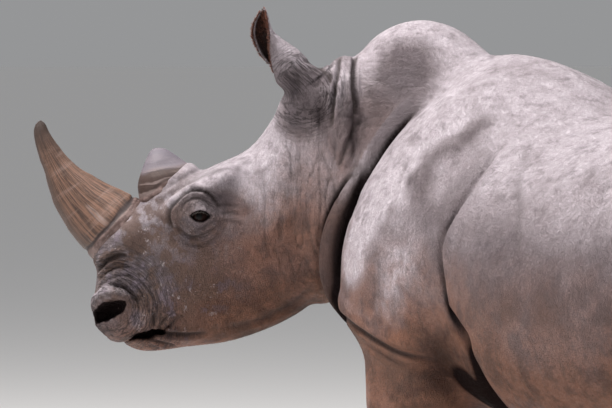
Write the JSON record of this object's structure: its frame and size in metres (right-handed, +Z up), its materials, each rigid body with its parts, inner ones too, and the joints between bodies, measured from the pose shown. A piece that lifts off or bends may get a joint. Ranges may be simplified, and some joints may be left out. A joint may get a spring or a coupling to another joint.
{
  "type": "white rhinoceros figure",
  "caption": "Life-size standing white rhinoceros: heavy body on pillar legs, humped neck with a folded collar, head raised and turned left, long curved nose horn and blunt rear horn.",
  "frame": {"origin": "middle of the whole animal's plan, on the floor that the soles stand on", "axes": "-X towards the front of the body, -Y towards the animal's left side, to which the head is turned, +Z up"},
  "size_m": [3.1018, 1.4375, 1.7576],
  "materials": {
    "hide": "matte, dusty and finely cracked",
    "horn": "fibrous at the base, worn smooth at the tip",
    "nail": "dull and dusty",
    "eye": "wet and glossy"
  },
  "bodies": {
    "root": {"head": "hide", "neck": "hide", "trunk": "hide", "tail": "hide", "leg_front_left": "hide", "leg_front_right": "hide", "leg_hind_left": "hide", "leg_hind_right": "hide", "ear_left": "hide", "ear_right": "hide", "eye_left": "eye", "eye_right": "eye", "horn_front": "horn", "horn_rear": "horn", "nail_front_left_1": "nail", "nail_front_left_2": "nail", "nail_front_left_3": "nail", "nail_front_right_1": "nail", "nail_front_right_2": "nail", "nail_front_right_3": "nail", "nail_hind_left_1": "nail", "nail_hind_left_2": "nail", "nail_hind_left_3": "nail", "nail_hind_right_1": "nail", "nail_hind_right_2": "nail", "nail_hind_right_3": "nail"}
  },
  "joints": []
}
